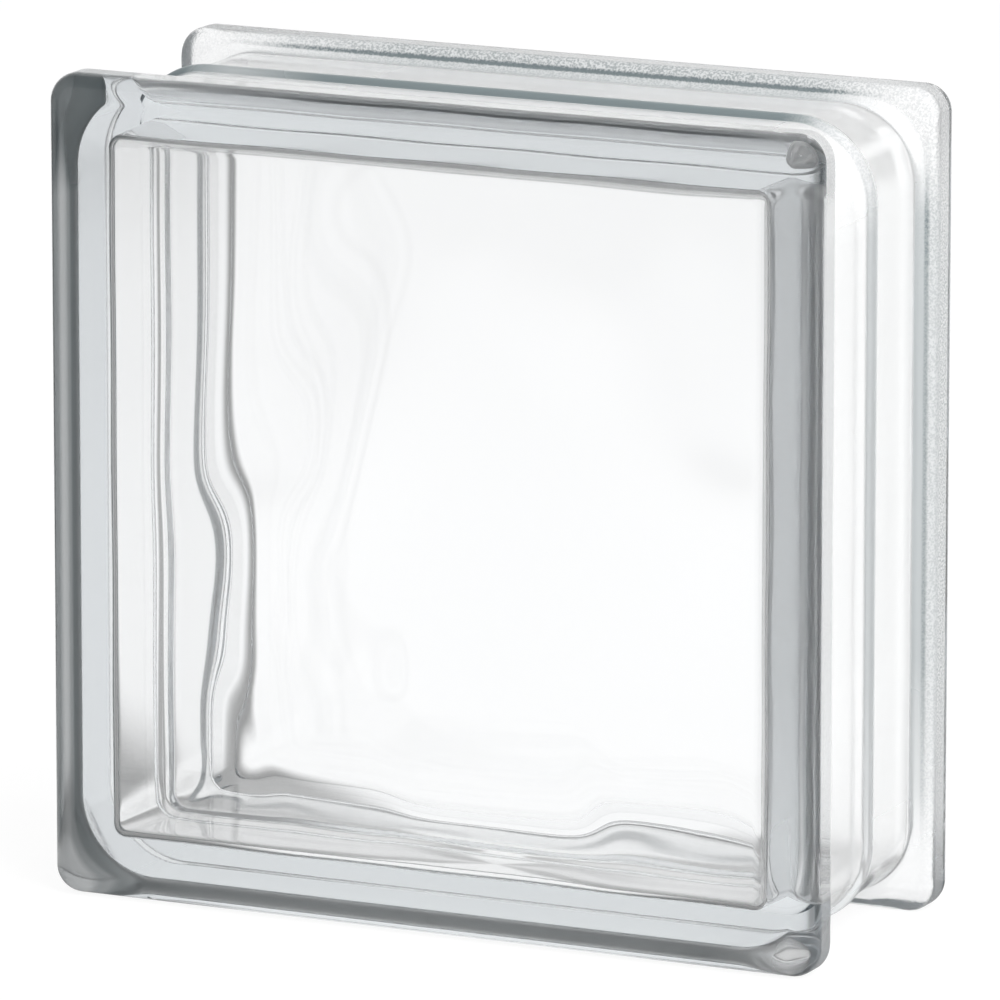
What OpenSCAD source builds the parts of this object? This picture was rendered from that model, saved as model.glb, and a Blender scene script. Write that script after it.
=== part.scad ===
// Hollow glass block for partition walls, standing on its lower edge.
// It is pressed as two dishes that are fused at mid depth into one sealed body of glass.
// Frame: X across the face, Y from the front face to the back face, Z up.
// Origin at the middle of the underside. All sizes are in millimetres.

/* [Faces] */
// Width and height of the block
face_side = 190; // [170:1:240]
// Depth from the front face to the back face
block_depth = 80; // [76:1:100]
// Radius of the four corners of the face outline
face_corner_r = 6.5; // [6.5:0.5:10]
// Rounding of the edge all around each face
face_edge_r = 5.5; // [3:0.5:6]

/* [Mortar channel] */
// Depth of each flange, from the face to the foot of the channel wall
flange_depth = 13.5; // [12:0.5:15]
// How far the channel floor lies below the flanges
channel_recess = 4; // [3:0.5:5]
// Corner radius of the channel floor
channel_corner_r = 18; // [14:1:24]
// Lean of the channel wall away from square
channel_wall_lean = 22; // [10:1:30]
// Rounding at the foot of the channel wall
channel_foot_r = 3; // [1.5:0.5:3.5]

/* [Seam] */
// Height of the fused seam above the channel floor
seam_height = 1.4; // [0.8:0.1:2]
// Width of the fused seam on the channel floor
seam_width = 4; // [4:0.5:8]

/* [Cavity] */
// Glass thickness at the middle level of the wave relief
face_thickness = 8; // [7:0.5:11]
// Distance from the flange to the cavity wall, at the face end
wall_inset_face = 13.5; // [12:0.5:16]
// Distance from the flange to the cavity wall, at the seam
wall_inset_seam = 13; // [11:0.5:14]
// Rounding between the cavity wall and the face
cavity_edge_r = 3; // [3:0.5:8]
// Corner radius of the cavity wall
cavity_corner_r = 3.5; // [3:0.5:6]
// Corner radius of the inner side of the face, inside the rounding
flat_corner_r = 1.5; // [1:0.5:4]
// Height of the fused seam's ridge on the cavity wall
ridge_height = 0.6; // [0.2:0.1:1.2]
// Width of that ridge
ridge_width = 4; // [2:0.5:6]

/* [Wave relief] */
// Scale of the heights of the pressed swells on the inner sides of the faces
wave_scale = 1; // [0:0.1:1.5]
// Scale of the lengths and widths of the swells
wave_spread = 1; // [0.8:0.1:1.4]

/* [Hidden] */
glass_colour = [0.80, 0.88, 0.87, 0.45];

half_side = face_side / 2;
half_depth = block_depth / 2;
face_level = half_depth - face_thickness;
foot_level = half_depth - flange_depth;
// Reach of the channel's cross section past its floor, enough to clear the face corners
channel_reach = channel_recess + 14;
// Steps in a quarter turn of a rounded edge, and in the seam's arch
edge_steps = 8;
arch_steps = 12;
// Points along one straight side of the cavity, and in one of its corners
side_steps = 20;
corner_steps = 4;
// Rings across the inner side of a face, around its rounded edge, and up the seam's ridge
face_rings = 12;
bend_steps = 6;
ridge_steps = 4;

// Swells of the wave relief, seen from the front of each face:
// place across and up from the middle, half length, half width, turn and height
swells = [
    [-12, 26, 52, 11, 62, 1.1],
    [-34, 34, 46, 10, 62, -0.6],
    [-41, -19, 23, 9, 98, 1.2],
    [58, -50, 20, 9, 8, 1.1],
    [61, -73, 20, 9, 8, -0.6],
    [14, -75, 24, 9, -4, 0.7],
    [-28, -50, 16, 10, 20, 0.5],
    [45, 60, 30, 12, 40, 0.8],
    [18, 4, 48, 14, 64, -0.6],
    [70, -4, 24, 9, 74, 0.4]
];

// Points of an arc about c, from angle a to angle b
function arc(c, r, a, b, steps) =
    [for (i = [0:steps]) c + r * [cos(a + (b - a) * i / steps), sin(a + (b - a) * i / steps)]];

function mirrored(points) = [for (i = [len(points) - 1:-1:0]) [points[i][0], -points[i][1]]];

// Outline of the solid blank's edge: x outwards from the corner's centre, y along the depth
function blank_edge() =
    let (front = arc([face_corner_r - face_edge_r, half_depth - face_edge_r], face_edge_r, 0, 90, edge_steps))
    concat(mirrored(front), front);

// Outline of the channel and its walls, from the seam to past the front face
function channel_half() =
    let (
        lean = channel_wall_lean,
        r = channel_foot_r,
        centre = [channel_corner_r + r, foot_level - r / cos(lean) + r * tan(lean)],
        foot = arc(centre, r, 180, 90 + lean, edge_steps),
        wall_top = [channel_corner_r + channel_reach, foot_level + channel_reach * tan(lean)]
    )
    concat(seam_half(), foot, [wall_top, [wall_top[0], block_depth]]);

// The seam's arch on the channel floor, from its crest outwards
function seam_half() =
    let (
        w = seam_width / 2,
        r = (w * w + seam_height * seam_height) / (2 * seam_height),
        centre = [channel_corner_r + seam_height - r, 0]
    )
    arc(centre, r, 0, asin(w / r), arch_steps / 2);

function channel_edge() =
    let (half = channel_half())
    concat([for (i = [len(half) - 1:-1:1]) [half[i][0], -half[i][1]]], half);

// A square of glass with that edge outline on all four sides and a round turn at its corners
module swept_square(edge, side, corner_r) {
    c = side / 2 - corner_r;
    far = [for (i = [len(edge) - 1:-1:0]) [-c - edge[i][0], edge[i][1]]];
    near = [for (p = edge) [c + p[0], p[1]]];
    for (turn = [0, 90])
        rotate([90, 0, turn])
            linear_extrude(height = 2 * c, center = true)
                polygon(concat(near, far));
    for (turn = [0:90:270])
        rotate(turn)
            translate([c, c])
                rotate_extrude(angle = 90, $fn = 64)
                    polygon(concat([[0, edge[0][1]]], edge, [[0, edge[len(edge) - 1][1]]]));
}

module outer_form() {
    channel_side = face_side - 2 * channel_recess;
    intersection() {
        swept_square(blank_edge(), face_side, face_corner_r);
        swept_square(channel_edge(), channel_side, channel_corner_r);
    }
}

// Height of one swell at a place on the face: flat along its length and bell shaped across it
function swell(s, x, y) =
    let (
        dx = x - s[0],
        dy = y - s[1],
        along = (dx * cos(s[4]) + dy * sin(s[4])) / (wave_spread * s[2]),
        aside = (dy * cos(s[4]) - dx * sin(s[4])) / (wave_spread * s[3])
    )
    s[5] * exp(-pow(along, 6) - aside * aside / 2);

function sum(values, i = 0) = i < len(values) ? values[i] + sum(values, i + 1) : 0;

function wave(x, y) = wave_scale * sum([for (s = swells) swell(s, x, y)]);

// A square ring of points with rounded corners, starting at the middle of the right side
function ring(half, r) =
    let (
        c = half - r,
        quarter = concat(
            [for (i = [0:side_steps / 2 - 1]) [half, c * 2 * i / side_steps]],
            arc([c, c], r, 0, 90, corner_steps),
            [for (i = [side_steps / 2 - 1:-1:1]) [c * 2 * i / side_steps, half]]
        )
    )
    [for (turn = [0:90:270], p = quarter)
        [p[0] * cos(turn) - p[1] * sin(turn), p[0] * sin(turn) + p[1] * cos(turn)]];

// Each ring of one dish is [half width, corner radius, level, share of the wave relief],
// from the face to the seam
function dish_rings() =
    let (
        wall = half_side - wall_inset_face,
        seam = half_side - wall_inset_seam,
        flat = wall - cavity_edge_r,
        bend = arc([flat, face_level - cavity_edge_r], cavity_edge_r, 90, 0, bend_steps),
        turn = cavity_corner_r - flat_corner_r
    )
    concat(
        [for (i = [1:face_rings - 1]) [flat * i / face_rings, flat_corner_r * i / face_rings, face_level, 1]],
        [for (i = [0:bend_steps])
            [bend[i][0], flat_corner_r + turn * i / bend_steps, bend[i][1], 1 - i / bend_steps]],
        [for (i = [0:ridge_steps])
            let (rise = ridge_height * pow(sin(90 * i / ridge_steps), 2))
            [seam - rise, cavity_corner_r, ridge_width / 2 * (1 - i / ridge_steps), 0]]
    );

// The back face has the same relief as the front face, seen from behind
function ring_points(r, front) =
    [for (p = ring(r[0], r[1]))
        [p[0], p[1], front * (r[2] + r[3] * wave(front * p[0], p[1]))]];

// The sealed air space: rings from the middle of the front face, out to the seam, and in to the back
module cavity() {
    dish = dish_rings();
    n = len(ring(10, 1));
    rows = concat(
        [for (r = dish) ring_points(r, 1)],
        [for (i = [len(dish) - 2:-1:0]) ring_points(dish[i], -1)]
    );
    last = len(rows) - 1;
    middle = len(rows) * n;
    points = concat(
        [for (row = rows, p = row) p],
        [[0, 0, face_level + wave(0, 0)], [0, 0, -face_level - wave(0, 0)]]
    );
    sides = [for (j = [0:last - 1], i = [0:n - 1]) let (k = (i + 1) % n)
        each [
            [j * n + i, j * n + k, (j + 1) * n + k],
            [j * n + i, (j + 1) * n + k, (j + 1) * n + i]
        ]];
    front_cap = [for (i = [0:n - 1]) [middle, (i + 1) % n, i]];
    back_cap = [for (i = [0:n - 1]) [middle + 1, last * n + i, last * n + (i + 1) % n]];
    polyhedron(points = points, faces = concat(sides, front_cap, back_cap), convexity = 4);
}

module glass_block() {
    color(glass_colour)
        translate([0, 0, half_side])
            rotate([90, 0, 0])
                difference() {
                    outer_form();
                    cavity();
                }
}

glass_block();
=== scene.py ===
import math

import bpy
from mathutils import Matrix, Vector


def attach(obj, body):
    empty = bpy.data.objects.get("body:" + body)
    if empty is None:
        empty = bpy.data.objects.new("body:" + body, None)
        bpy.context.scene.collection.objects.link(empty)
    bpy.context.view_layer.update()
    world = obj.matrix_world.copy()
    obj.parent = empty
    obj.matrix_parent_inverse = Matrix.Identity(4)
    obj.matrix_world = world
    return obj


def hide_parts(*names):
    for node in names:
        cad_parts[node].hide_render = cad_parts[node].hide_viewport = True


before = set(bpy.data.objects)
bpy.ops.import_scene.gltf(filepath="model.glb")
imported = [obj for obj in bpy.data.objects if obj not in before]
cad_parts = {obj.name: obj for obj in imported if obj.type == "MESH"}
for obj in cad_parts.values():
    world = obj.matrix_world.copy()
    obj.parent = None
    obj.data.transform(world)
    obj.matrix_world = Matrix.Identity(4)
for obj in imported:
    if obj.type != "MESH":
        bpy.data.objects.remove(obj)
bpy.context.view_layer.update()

MM = 0.001

# Outer form, the same as in the solid
SIDE = 190 * MM
DEPTH = 80 * MM
FACE_CORNER_R = 6.5 * MM
FACE_EDGE_R = 5.5 * MM
FLANGE_DEPTH = 13.5 * MM
CHANNEL_RECESS = 4 * MM
CHANNEL_CORNER_R = 18 * MM
CHANNEL_LEAN = math.radians(22)
CHANNEL_FOOT_R = 3 * MM
SEAM_HEIGHT = 1.4 * MM
SEAM_WIDTH = 4 * MM
# Rounding of the lip between the land of a flange and the channel wall
LIP_R = 2.5 * MM

# Cavity, the same as in the solid
FACE_THICKNESS = 8 * MM
WALL_INSET_FACE = 13.5 * MM
WALL_INSET_SEAM = 13 * MM
CAVITY_EDGE_R = 3 * MM
CAVITY_CORNER_R = 3.5 * MM
FLAT_CORNER_R = 1.5 * MM
RIDGE_HEIGHT = 0.6 * MM
RIDGE_WIDTH = 4 * MM
# Swells of the wave relief: place across and up from the middle of the face, half length,
# half width, turn in degrees and height, all lengths in millimetres
SWELLS = (
    (-12, 26, 52, 11, 62, 1.1),
    (-34, 34, 46, 10, 62, -0.6),
    (-41, -19, 23, 9, 98, 1.2),
    (58, -50, 20, 9, 8, 1.1),
    (61, -73, 20, 9, 8, -0.6),
    (14, -75, 24, 9, -4, 0.7),
    (-28, -50, 16, 10, 20, 0.5),
    (45, 60, 30, 12, 40, 0.8),
    (18, 4, 48, 14, 64, -0.6),
    (70, -4, 24, 9, 74, 0.4),
)

# Unevenness of the cavity's pressed wall: its height, its pitch across, up and along the depth
# in radians per metre, and the start of its upward pattern in radians
RIPPLE = 0.2 * MM
RIPPLE_ACROSS = 150
RIPPLE_UP = 120
RIPPLE_DEEP = 40
RIPPLE_START = 1

# Mesh fineness: cells from the middle of a side to its corner, the share of them on the straight,
# and the points of a whole ring
HALF_CELLS = 56
STRAIGHT_SHARE = 0.8
RING_POINTS = 8 * HALF_CELLS
# Steps around each rounding of the outer form, and how many points of the foot belong to the wall
EDGE_STEPS = 12
LIP_STEPS = 6
FOOT_STEPS = 8
WALL_POINTS = 2
SEAM_STEPS = 8
# Steps around the cavity's rounding, along its wall and up its ridge
BEND_STEPS = 20
WALL_STEPS = 8
RIDGE_STEPS = 6
# Distances from the roundings to the rings that keep the flats beside them even in shading
FACE_GUARD = 0.4 * MM
LAND_GUARD = 0.6 * MM
LIP_BAND = 2.5 * MM
LIP_GUARD = 0.3 * MM
FOOT_GUARD = 0.5 * MM
SEAM_GUARD = 1.2 * MM
# Grid of a cavity face: its corner rounding near the middle, as a share of its size, and the share
# of the way out at which that begins to change into the rounding of the edge
GRID_CORNER = 0.24
GRID_BLEND_START = 0.5

# Finishes of the outer skin, each as its shares of grey coat, frosted grain and dull glass
# The front coat thickens from the land over the lip and wall to the foot, which paints shade into the
# crease at the foot over the real grey coat
FRONT_FINISH = {
    "face": (0.0, 0.0, 0.0),
    "land": (0.35, 0.0, 0.0),
    "lip": (0.6, 0.0, 0.0),
    "wall": (0.85, 0.0, 0.0),
    "foot": (1.0, 0.0, 0.0),
    "channel": (0.0, 0.0, 1.0),
    "seam": (2.0, 0.0, 0.3),
}
BACK_TOP_FINISH = {
    "face": (0.0, 0.0, 0.0),
    "land": (0.0, 0.7, 0.3),
    "lip": (0.4, 0.9, 0.1),
    "wall": (1.0, 0.9, 0.0),
    "foot": (0.5, 0.4, 0.6),
    "channel": (0.0, 0.0, 1.0),
    "seam": (1.0, 0.0, 0.3),
}
BACK_SIDE_FINISH = {
    "face": (0.0, 0.0, 0.0),
    "land": (0.25, 1.0, 0.2),
    "lip": (0.45, 0.4, 0.3),
    "wall": (0.8, 0.2, 0.2),
    "foot": (0.7, 0.0, 0.6),
    "channel": (0.0, 0.0, 1.0),
    "seam": (0.35, 0.0, 0.6),
}
# Share of a thin grey film on the cavity's wall
WALL_FILM = 0.22

# Where the finishes change, as shares of the half side from the middle of the block
CORNER_START = 0.7
CORNER_SPAN = 0.2
FLANGE_START = 0.8
FLANGE_SPAN = 0.15
# Share of the upper right finish at the middle, and of the top finish on the diagonal
UPPER_RIGHT_AT_MIDDLE = 0.4
TOP_AT_DIAGONAL = 0.5
# Strength of the front coat below, what the left adds, and what the right and the top take away
# This spread paints shade over the real grey coat: thicker below and at the left, where the flanges
# lie in shade, and thinner at the right and the top, towards the lamp
SHADE_COAT_BELOW = 0.8
SHADE_COAT_LEFT_GAIN = 0.2
SHADE_COAT_RIGHT_LOSS = 0.5
SHADE_COAT_TOP_LOSS = 0.25
# Changes at the front corners: coat lost at the right and gained at the upper left, and the
# dull glass and grain added at the right
# The coat lost at the right corner and gained at the upper left corner paints those corners lighter
# and darker as shade
CORNER_SHADE_COAT_LOSS = 0.8
CORNER_SHADE_COAT_GAIN = 1.2
CORNER_DULL = 0.5
CORNER_GRAIN = 0.6
# Share of the dull finish that stays at the lower left
DULL_LEAST = 0.35

# Glass: refraction, and the colour and density of its body tint
GLASS_IOR = 1.52
TINT_COLOUR = (0.60, 0.65, 0.68, 1.0)
TINT_DENSITY = 10.0
WHITE = (1.0, 1.0, 1.0, 1.0)
# Grey of the edge coat, kept dark so that where the coat is thick it also paints the shade of the
# lower and left flanges, then how much each full finish covers the clear glass and how rough it is
COAT_COLOUR = (0.17, 0.205, 0.215, 1.0)
COAT_COVER = 0.9
COAT_ROUGHNESS = 0.25
GRAIN_COVER = 0.35
GRAIN_ROUGHNESS = 0.45
CHANNEL_HAZE = 0.38
CHANNEL_ROUGHNESS = 0.2
# Specks of the frosted grain: noise scale and detail, the noise levels where a speck begins and
# is full, how grey it is, and its bump
SPECK_SCALE = 2000.0
SPECK_DETAIL = 2.0
SPECK_LOW = 0.4
SPECK_HIGH = 0.62
SPECK_TONE = 0.45
SPECK_BUMP = 0.6
SPECK_DEPTH = 0.15 * MM
# Sockets of a colour mix node: its two colours and its result
MIX_FIRST = 6
MIX_SECOND = 7
MIX_RESULT = 2

# Studio light by direction: the part along Y at which the sides end and the white sweep starts
SIDES_LOW = 0.1
SIDES_HIGH = 0.3
SWEEP_LOW = 0.45
SWEEP_HIGH = 0.65
WORLD_GREY = 0.45
WORLD_WHITE = 1.0
# Floor as the glass shows it: beside the block, next to the sweep and in the sweep
FLOOR_REACH = 6.0
FLOOR_COLOUR = (0.95, 0.95, 0.95, 1.0)
FLOOR_BESIDE = 0.75
FLOOR_GREY = 0.30
FLOOR_WHITE = 1.05
# Weaker light from the strip of floor under the block
UNDER_LOW = 0.03
UNDER_HIGH = 0.05
UNDER_SHARE = 0.95
# Fade of the floor far from the block
FADE_START = 0.35
FADE_END = 0.9
FADE_LEAST = 0.93
# Floor as the camera sees it: share of plain white over the lit floor, and its strength
CAMERA_WHITE_SHARE = 0.86
CAMERA_WHITE = 1.05

LAMP_PLACE = (0.9, -0.35, 1.1)
LAMP_SIZE = 1.2
LAMP_POWER = 20.0

CAMERA_AZIMUTH = math.radians(25.32)
CAMERA_ELEVATION = math.radians(12.4)
CAMERA_DISTANCE = 2.551
CAMERA_TARGET = (0.0, 0.0, 0.0929)
CAMERA_SENSOR = 36
CAMERA_LENS = 406

# Bounces of light, enough for the paths through the walls and the cavity
MOST_BOUNCES = 24
GLOSSY_BOUNCES = 16

HALF = SIDE / 2
HALF_DEPTH = DEPTH / 2
FACE_LEVEL = HALF_DEPTH - FACE_THICKNESS
# Half width of the channel floor, and the levels of the channel wall's foot and of its rounding
CHANNEL_HALF = HALF - CHANNEL_RECESS
FOOT_LEVEL = HALF_DEPTH - FLANGE_DEPTH
FOOT_CENTRE = FOOT_LEVEL + CHANNEL_FOOT_R * (math.tan(CHANNEL_LEAN) - 1 / math.cos(CHANNEL_LEAN))


def share(value):
    """A value kept between nothing and the whole."""
    return min(1.0, max(0.0, value))


def side_point(way, half, radius):
    """A point on the right side of a rounded square, by its share of the way to the corner."""
    straight = half - radius
    reach = abs(way)
    if reach <= STRAIGHT_SHARE:
        return half, way / STRAIGHT_SHARE * straight
    angle = math.pi / 4 * (reach - STRAIGHT_SHARE) / (1 - STRAIGHT_SHARE)
    across = straight + radius * math.cos(angle)
    along = straight + radius * math.sin(angle)
    return across, math.copysign(along, way)


def ring(half, radius):
    """Points of a rounded square, counter-clockwise from its lower right corner."""
    points = []
    for turn in range(4):
        for step in range(-HALF_CELLS, HALF_CELLS):
            across, along = side_point(step / HALF_CELLS, half, radius)
            for _ in range(turn):
                across, along = -along, across
            points.append((across, along))
    return points


def arc(centre, radius, start, end, steps):
    """Points of an arc in the plane of half width and depth."""
    points = []
    for i in range(steps + 1):
        angle = start + (end - start) * i / steps
        points.append((centre[0] + radius * math.cos(angle), centre[1] + radius * math.sin(angle)))
    return points


def wave(x, z):
    """Relief of the pressed waves at a place on the face."""
    total = 0.0
    for across, up, length, width, turn, height in SWELLS:
        cos = math.cos(math.radians(turn))
        sin = math.sin(math.radians(turn))
        dx = x - across * MM
        dz = z - up * MM
        along = (dx * cos + dz * sin) / (length * MM)
        aside = (dz * cos - dx * sin) / (width * MM)
        total += height * MM * math.exp(-along ** 6 - aside ** 2 / 2)
    return total


def face_edge_rings():
    """Rings around the rounded edge of the face, out to the land."""
    flat = HALF - FACE_EDGE_R
    rings = [(flat - FACE_GUARD, FACE_CORNER_R - FACE_EDGE_R, HALF_DEPTH, "face")]
    centre = (flat, HALF_DEPTH - FACE_EDGE_R)
    for half, level in arc(centre, FACE_EDGE_R, math.pi / 2, 0, EDGE_STEPS):
        rings.append((half, FACE_CORNER_R - HALF + half, level, "face"))
    return rings


def flange_rings():
    """Rings along the land, around the lip and down the channel wall to its foot."""
    lean = CHANNEL_LEAN
    lip_turn = math.pi / 2 - lean
    lip_level = FOOT_LEVEL + CHANNEL_RECESS * math.tan(lean) + LIP_R * math.tan(lip_turn / 2)
    land_levels = (
        HALF_DEPTH - FACE_EDGE_R - LAND_GUARD,
        lip_level + LIP_BAND,
        lip_level + LIP_GUARD,
    )
    rings = [(HALF, FACE_CORNER_R, level, "land") for level in land_levels]

    lip = arc((HALF - LIP_R, lip_level), LIP_R, 0, -lip_turn, LIP_STEPS)
    foot_middle = (CHANNEL_HALF + CHANNEL_FOOT_R, FOOT_CENTRE)
    foot = arc(foot_middle, CHANNEL_FOOT_R, math.pi / 2 + lean, math.pi, FOOT_STEPS)
    section = [(place, "lip") for place in lip]
    section += [(place, "wall") for place in foot[:WALL_POINTS]]
    section += [(place, "foot") for place in foot[WALL_POINTS:]]
    for (half, level), finish in section:
        down = (HALF - half) / CHANNEL_RECESS
        radius = FACE_CORNER_R + (CHANNEL_CORNER_R - FACE_CORNER_R) * down
        rings.append((half, radius, level, finish))
    return rings


def seam_rings():
    """Rings along the channel floor and up the seam to its crest."""
    half_width = SEAM_WIDTH / 2
    crest_r = (half_width ** 2 + SEAM_HEIGHT ** 2) / (2 * SEAM_HEIGHT)
    spread = math.asin(half_width / crest_r)
    centre = (CHANNEL_HALF + SEAM_HEIGHT - crest_r, 0)
    rings = [
        (CHANNEL_HALF, CHANNEL_CORNER_R, FOOT_CENTRE - FOOT_GUARD, "channel"),
        (CHANNEL_HALF, CHANNEL_CORNER_R, half_width + SEAM_GUARD, "channel"),
    ]
    for half, level in arc(centre, crest_r, spread, 0, SEAM_STEPS):
        rings.append((half, CHANNEL_CORNER_R + half - CHANNEL_HALF, level, "seam"))
    return rings


def outer_profile():
    """Half width, corner radius, level and finish of each ring, from the face to the seam."""
    return face_edge_rings() + flange_rings() + seam_rings()


def cavity_profile():
    """Half width, corner radius, level and share of the waves, from the face's edge to the seam."""
    wall = HALF - WALL_INSET_FACE
    seam = HALF - WALL_INSET_SEAM
    flat = wall - CAVITY_EDGE_R
    wall_start = FACE_LEVEL - CAVITY_EDGE_R
    wall_end = RIDGE_WIDTH / 2
    rings = []
    bend = arc((flat, wall_start), CAVITY_EDGE_R, math.pi / 2, 0, BEND_STEPS)
    for i, (half, level) in enumerate(bend):
        radius = FLAT_CORNER_R + (CAVITY_CORNER_R - FLAT_CORNER_R) * i / BEND_STEPS
        rings.append((half, radius, level, 1 - i / BEND_STEPS))
    for i in range(1, WALL_STEPS + 1):
        half = wall + (seam - wall) * i / WALL_STEPS
        level = wall_start + (wall_end - wall_start) * i / WALL_STEPS
        rings.append((half, CAVITY_CORNER_R, level, 0))
    for i in range(1, RIDGE_STEPS + 1):
        rise = RIDGE_HEIGHT * math.sin(math.pi / 2 * i / RIDGE_STEPS) ** 2
        rings.append((seam - rise, CAVITY_CORNER_R, wall_end * (1 - i / RIDGE_STEPS), 0))
    return rings


def add_ring(verts, half, radius, level, front=1):
    """Adds one ring of the outer skin and gives back the number of its first point."""
    first = len(verts)
    verts.extend((x, -front * level, z + HALF) for x, z in ring(half, radius))
    return first


def add_cavity_ring(verts, half, radius, level, waves, front=1):
    """Adds one ring of the cavity, wavy at the face and a little uneven along the wall."""
    first = len(verts)
    for x, z in ring(half, radius):
        uneven = math.sin(RIPPLE_ACROSS * x + RIPPLE_DEEP * front * level)
        uneven += math.sin(RIPPLE_UP * z + RIPPLE_START)
        swell = 1 + (1 - waves) * RIPPLE / 2 * uneven / half
        y = -front * (level + waves * wave(front * x, z))
        verts.append((x * swell, y, z * swell + HALF))
    return first


def join_rings(faces, first, second):
    """Adds the band of faces between two rings, each given by the number of its first point."""
    for i in range(RING_POINTS):
        j = (i + 1) % RING_POINTS
        faces.append((first + i, first + j, second + j, second + i))


def grid_point(i, j, half, radius):
    """Place of a grid point on a cavity face, counted in cells from the middle."""
    reach = max(abs(i), abs(j))
    if reach == 0:
        return 0.0, 0.0
    size = half * reach / HALF_CELLS
    blend = share((reach / HALF_CELLS - GRID_BLEND_START) / (1 - GRID_BLEND_START))
    blend = blend * blend * (3 - 2 * blend)
    corner = size * (GRID_CORNER + (radius / half - GRID_CORNER) * blend)
    if abs(i) >= abs(j):
        x, z = side_point(j / reach, size, corner)
        return math.copysign(x, i), z
    z, x = side_point(i / reach, size, corner)
    return x, math.copysign(z, j)


def cap_grid(verts, faces, edge, half, radius, level, front):
    """Fills the wavy inner side of a face with a grid of cells inside the given ring."""
    index = {}
    step = 0
    for turn in range(4):
        for along in range(-HALF_CELLS, HALF_CELLS):
            i, j = HALF_CELLS, along
            for _ in range(turn):
                i, j = -j, i
            index[(i, j)] = edge + step
            step += 1
    for i in range(-HALF_CELLS + 1, HALF_CELLS):
        for j in range(-HALF_CELLS + 1, HALF_CELLS):
            x, z = grid_point(i, j, half, radius)
            index[(i, j)] = len(verts)
            verts.append((x, -front * (level + wave(front * x, z)), z + HALF))
    for i in range(-HALF_CELLS, HALF_CELLS):
        for j in range(-HALF_CELLS, HALF_CELLS):
            quad = (index[(i, j)], index[(i + 1, j)], index[(i + 1, j + 1)], index[(i, j + 1)])
            faces.append(quad if front < 0 else quad[::-1])


def upper_right_share(x, z):
    """Share of the finish that grows towards the upper right corner."""
    return share(UPPER_RIGHT_AT_MIDDLE + (x + z) / HALF)


def corner_share(x, z):
    """Share of the finish that belongs to the four corners."""
    return share((min(abs(x), abs(z)) / HALF - CORNER_START) / CORNER_SPAN)


def flange_share(reach):
    """Share of the finish that belongs to the flange on one side, by the reach to that side."""
    return share((reach / HALF - FLANGE_START) / FLANGE_SPAN)


def dull_share(x, z):
    """Share of the dull glass, which is weaker at the lower left."""
    return DULL_LEAST + (1 - DULL_LEAST) * upper_right_share(x, z)


def front_finish(name, x, z):
    """Finish of a point on the front half, with the coat thinner along the top and the right and
    thicker below and at the left as painted shade over the real grey coat.
    """
    coat, grain, dull = FRONT_FINISH[name]
    corner = corner_share(x, z)
    right_corner = corner * share(x / HALF)
    upper_left_corner = corner * share(-x / HALF) * share(z / HALF)
    # The coat's spread paints shade: thicker below, at the left and in the upper left corner, thinner
    # at the top, the right and the right corner
    coat_spread = SHADE_COAT_BELOW + SHADE_COAT_LEFT_GAIN * flange_share(-x)
    coat_spread -= SHADE_COAT_RIGHT_LOSS * flange_share(x) + SHADE_COAT_TOP_LOSS * flange_share(z)
    coat_spread *= 1 - CORNER_SHADE_COAT_LOSS * right_corner
    coat_spread *= 1 + CORNER_SHADE_COAT_GAIN * upper_left_corner
    if name != "face":
        dull += CORNER_DULL * right_corner
        grain += CORNER_GRAIN * right_corner * share(z / HALF)
    if name == "seam":
        coat_spread *= upper_right_share(x, z)
    return coat * coat_spread, grain, dull * dull_share(x, z)


def back_finish(name, x, z):
    """Finish of a point on the back half, with coat and frosting on its top and right flanges."""
    top = share(TOP_AT_DIAGONAL + (z - x) / HALF)
    upper_right = upper_right_share(x, z)
    coat, grain, dull = (
        on_side + (on_top - on_side) * top
        for on_top, on_side in zip(BACK_TOP_FINISH[name], BACK_SIDE_FINISH[name])
    )
    coat_spread = upper_right * (1 - corner_share(x, z))
    return coat * coat_spread, grain * upper_right, dull * dull_share(x, z)


def cavity_finish(waves, x, z):
    """Finish of a point in the cavity: clear faces, and a film on the top and right walls."""
    return WALL_FILM * (1 - waves) * upper_right_share(x, z), 0.0, 0.0


def add_outer_skin(verts, faces, finishes):
    """Adds the block's outside, from the front face over the flanges and the seam to the back face."""
    profile = outer_profile()
    front = [add_ring(verts, *place[:3]) for place in profile]
    back = [add_ring(verts, *place[:3], front=-1) for place in profile[-2::-1]]
    rings = front + back
    for first, second in zip(rings, rings[1:]):
        join_rings(faces, second, first)
    for half, radius, _, name in profile:
        finishes += [front_finish(name, x, z) for x, z in ring(half, radius)]
    for half, radius, _, name in profile[-2::-1]:
        finishes += [back_finish(name, x, z) for x, z in ring(half, radius)]
    faces.append(tuple(rings[0] + i for i in range(RING_POINTS)))
    faces.append(tuple(rings[-1] + i for i in reversed(range(RING_POINTS))))


def add_cavity_skin(verts, faces, finishes):
    """Adds the skin of the sealed cavity, with its walls first and then its two wavy faces."""
    profile = cavity_profile()
    front = [add_cavity_ring(verts, *place) for place in profile]
    back = [add_cavity_ring(verts, *place, front=-1) for place in profile[-2::-1]]
    rings = front + back
    for first, second in zip(rings, rings[1:]):
        join_rings(faces, first, second)
    for half, radius, _, waves in profile + profile[-2::-1]:
        finishes += [cavity_finish(waves, x, z) for x, z in ring(half, radius)]
    half, radius, level, _ = profile[0]
    cap_grid(verts, faces, rings[0], half, radius, level, 1)
    cap_grid(verts, faces, rings[-1], half, radius, level, -1)
    finishes += [FRONT_FINISH["face"]] * (len(verts) - len(finishes))


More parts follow.
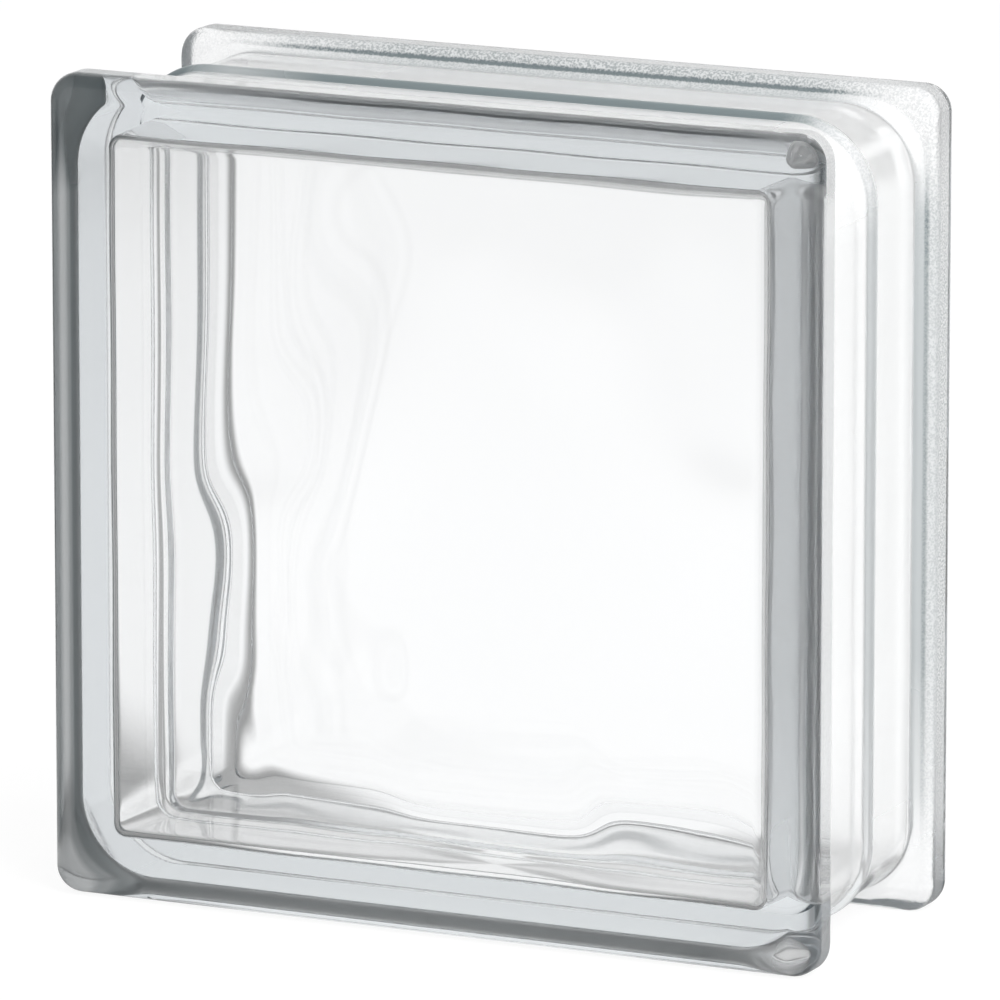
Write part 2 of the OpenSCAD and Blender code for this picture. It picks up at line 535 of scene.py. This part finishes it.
def glass_mesh():
    """The block's outer skin and the skin of its sealed cavity, as one closed mesh."""
    verts = []
    faces = []
    finishes = []
    add_outer_skin(verts, faces, finishes)
    add_cavity_skin(verts, faces, finishes)

    mesh = bpy.data.meshes.new("glass_block_body")
    mesh.from_pydata(verts, [], faces)
    mesh.validate()
    mesh.update()
    mesh.polygons.foreach_set("use_smooth", [True] * len(mesh.polygons))
    for i, name in enumerate(("coat", "grain", "dull")):
        layer = mesh.attributes.new(name, "FLOAT", "POINT")
        layer.data.foreach_set("value", [finish[i] for finish in finishes])
    return mesh


def attribute(nodes, name):
    """The output of an Attribute node for one of the mesh's finishes."""
    node = nodes.new("ShaderNodeAttribute")
    node.attribute_name = name
    return node.outputs["Fac"]


def math_node(tree, operation, *values):
    """A Math node whose inputs are numbers or other nodes' outputs."""
    node = tree.nodes.new("ShaderNodeMath")
    node.operation = operation
    for socket, value in zip(node.inputs, values):
        if isinstance(value, (int, float)):
            socket.default_value = value
        else:
            tree.links.new(value, socket)
    return node.outputs[0]


def map_range(tree, value, low, high, at_low, at_high):
    """A smooth step from one value to another."""
    node = tree.nodes.new("ShaderNodeMapRange")
    node.interpolation_type = "SMOOTHSTEP"
    node.inputs["From Min"].default_value = low
    node.inputs["From Max"].default_value = high
    node.inputs["To Min"].default_value = at_low
    node.inputs["To Max"].default_value = at_high
    tree.links.new(value, node.inputs["Value"])
    return node.outputs["Result"]


def sweep_light(tree, way, beside, grey, white):
    """Light of the white sweep, which runs along Y, of the grey next to it and of the sides."""
    split = tree.nodes.new("ShaderNodeSeparateXYZ")
    tree.links.new(way, split.inputs[0])
    along = math_node(tree, "ABSOLUTE", split.outputs["Y"])
    sides = map_range(tree, along, SIDES_LOW, SIDES_HIGH, beside, grey)
    sweep = map_range(tree, along, SWEEP_LOW, SWEEP_HIGH, 0.0, white - grey)
    return math_node(tree, "ADD", sides, sweep)


def glass_material():
    """Clear pressed glass, with the coated and frosted flanges and the duller glass of the channel."""
    material = bpy.data.materials.new("pressed_glass")
    material.use_nodes = True
    tree = material.node_tree
    nodes = tree.nodes
    links = tree.links
    nodes.clear()
    out = nodes.new("ShaderNodeOutputMaterial")
    shader = nodes.new("ShaderNodeBsdfPrincipled")
    shader.inputs["IOR"].default_value = GLASS_IOR
    links.new(shader.outputs["BSDF"], out.inputs["Surface"])

    coat = attribute(nodes, "coat")
    grain = attribute(nodes, "grain")
    dull = attribute(nodes, "dull")

    place = nodes.new("ShaderNodeTexCoord")
    specks = nodes.new("ShaderNodeTexNoise")
    specks.inputs["Scale"].default_value = SPECK_SCALE
    specks.inputs["Detail"].default_value = SPECK_DETAIL
    links.new(place.outputs["Object"], specks.inputs["Vector"])
    sharp = map_range(tree, specks.outputs["Fac"], SPECK_LOW, SPECK_HIGH, 0.0, 1.0)
    speck = math_node(tree, "MULTIPLY", sharp, grain)

    speckled = math_node(tree, "MULTIPLY_ADD", speck, SPECK_TONE, coat)
    tone = nodes.new("ShaderNodeMix")
    tone.data_type = "RGBA"
    tone.inputs[MIX_FIRST].default_value = WHITE
    tone.inputs[MIX_SECOND].default_value = COAT_COLOUR
    links.new(speckled, tone.inputs["Factor"])
    links.new(tone.outputs[MIX_RESULT], shader.inputs["Base Color"])

    clear = math_node(tree, "MULTIPLY_ADD", coat, -COAT_COVER, 1.0)
    clear = math_node(tree, "MULTIPLY_ADD", dull, -CHANNEL_HAZE, clear)
    clear = math_node(tree, "MULTIPLY_ADD", grain, -GRAIN_COVER, clear)
    links.new(clear, shader.inputs["Transmission Weight"])

    rough = math_node(tree, "MULTIPLY", dull, CHANNEL_ROUGHNESS)
    rough = math_node(tree, "MULTIPLY_ADD", coat, COAT_ROUGHNESS, rough)
    rough = math_node(tree, "MULTIPLY_ADD", grain, GRAIN_ROUGHNESS, rough)
    links.new(rough, shader.inputs["Roughness"])

    bump = nodes.new("ShaderNodeBump")
    bump.inputs["Strength"].default_value = SPECK_BUMP
    bump.inputs["Distance"].default_value = SPECK_DEPTH
    links.new(speck, bump.inputs["Height"])
    links.new(bump.outputs["Normal"], shader.inputs["Normal"])

    tint = nodes.new("ShaderNodeVolumeAbsorption")
    tint.inputs["Color"].default_value = TINT_COLOUR
    tint.inputs["Density"].default_value = TINT_DENSITY
    links.new(tint.outputs["Volume"], out.inputs["Volume"])
    return material


def add_piece():
    """The glass block itself, standing on the floor."""
    mesh = glass_mesh()
    mesh.materials.append(glass_material())
    piece = bpy.data.objects.new("glass_body", mesh)
    bpy.context.scene.collection.objects.link(piece)
    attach(piece, "root")
    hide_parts("glass_block")


def floor_material():
    """Pale floor: white with a soft shadow to the camera, and the studio's sweep to the glass."""
    material = bpy.data.materials.new("pale_floor")
    material.use_nodes = True
    tree = material.node_tree
    nodes = tree.nodes
    links = tree.links
    nodes.clear()
    out = nodes.new("ShaderNodeOutputMaterial")
    path = nodes.new("ShaderNodeLightPath")
    camera_ray = path.outputs["Is Camera Ray"]
    spot = nodes.new("ShaderNodeNewGeometry")
    position = spot.outputs["Position"]

    lit = nodes.new("ShaderNodeBsdfDiffuse")
    lit.inputs["Color"].default_value = FLOOR_COLOUR

    split = nodes.new("ShaderNodeSeparateXYZ")
    links.new(position, split.inputs[0])
    off_middle = math_node(tree, "ABSOLUTE", split.outputs["Y"])
    under = map_range(tree, off_middle, UNDER_LOW, UNDER_HIGH, UNDER_SHARE, 1.0)
    glass_ray = math_node(
        tree, "MAXIMUM", path.outputs["Is Glossy Ray"], path.outputs["Is Transmission Ray"]
    )
    seen = math_node(tree, "MULTIPLY", glass_ray, under)
    seen = math_node(tree, "MULTIPLY_ADD", camera_ray, CAMERA_WHITE_SHARE, seen)

    way = nodes.new("ShaderNodeVectorMath")
    way.operation = "NORMALIZE"
    links.new(position, way.inputs[0])
    sweep = sweep_light(tree, way.outputs["Vector"], FLOOR_BESIDE, FLOOR_GREY, FLOOR_WHITE)
    reach = nodes.new("ShaderNodeVectorMath")
    reach.operation = "LENGTH"
    links.new(position, reach.inputs[0])
    fade = map_range(tree, reach.outputs["Value"], FADE_START, FADE_END, 1.0, FADE_LEAST)
    sweep = math_node(tree, "MULTIPLY", sweep, fade)
    direct = math_node(tree, "MULTIPLY", camera_ray, CAMERA_WHITE)
    strength = math_node(tree, "MAXIMUM", sweep, direct)
    white = nodes.new("ShaderNodeEmission")
    links.new(strength, white.inputs["Strength"])

    mix = nodes.new("ShaderNodeMixShader")
    links.new(seen, mix.inputs["Fac"])
    links.new(lit.outputs["BSDF"], mix.inputs[1])
    links.new(white.outputs["Emission"], mix.inputs[2])
    links.new(mix.outputs["Shader"], out.inputs["Surface"])
    return material


def add_floor():
    """One wide level plane."""
    mesh = bpy.data.meshes.new("floor")
    reach = FLOOR_REACH
    corners = [(-reach, -reach, 0), (reach, -reach, 0), (reach, reach, 0), (-reach, reach, 0)]
    mesh.from_pydata(corners, [], [(0, 1, 2, 3)])
    mesh.materials.append(floor_material())
    floor = bpy.data.objects.new("floor", mesh)
    bpy.context.scene.collection.objects.link(floor)


def add_world():
    """A studio that is white before and behind the block, and grey at its sides and above."""
    world = bpy.data.worlds.new("studio")
    bpy.context.scene.world = world
    world.use_nodes = True
    nodes = world.node_tree.nodes
    links = world.node_tree.links
    way = nodes.new("ShaderNodeTexCoord")
    studio = sweep_light(
        world.node_tree, way.outputs["Generated"], WORLD_GREY, WORLD_GREY, WORLD_WHITE
    )
    nodes["Background"].inputs["Color"].default_value = WHITE
    links.new(studio, nodes["Background"].inputs["Strength"])


def add_softbox():
    """One wide soft lamp up on the right, hidden from reflections and from rays through the glass."""
    data = bpy.data.lights.new("softbox", "AREA")
    data.shape = "SQUARE"
    data.size = LAMP_SIZE
    data.energy = LAMP_POWER
    lamp = bpy.data.objects.new("softbox", data)
    lamp.location = LAMP_PLACE
    lamp.rotation_euler = lamp.location.to_track_quat("Z", "Y").to_euler()
    lamp.visible_glossy = False
    lamp.visible_transmission = False
    bpy.context.scene.collection.objects.link(lamp)


def add_camera():
    """A long lens, turned to the right of the front face and a little above it."""
    back = Vector((
        math.sin(CAMERA_AZIMUTH) * math.cos(CAMERA_ELEVATION),
        -math.cos(CAMERA_AZIMUTH) * math.cos(CAMERA_ELEVATION),
        math.sin(CAMERA_ELEVATION),
    ))
    data = bpy.data.cameras.new("camera")
    data.sensor_width = CAMERA_SENSOR
    data.lens = CAMERA_LENS
    camera = bpy.data.objects.new("camera", data)
    camera.location = Vector(CAMERA_TARGET) + back * CAMERA_DISTANCE
    camera.rotation_euler = (math.pi / 2 - CAMERA_ELEVATION, 0, CAMERA_AZIMUTH)
    bpy.context.scene.collection.objects.link(camera)
    bpy.context.scene.camera = camera


scene = bpy.context.scene
scene.view_settings.view_transform = "Standard"
scene.cycles.max_bounces = MOST_BOUNCES
scene.cycles.transmission_bounces = MOST_BOUNCES
scene.cycles.glossy_bounces = GLOSSY_BOUNCES
add_camera()
add_world()
add_softbox()
add_floor()
add_piece()
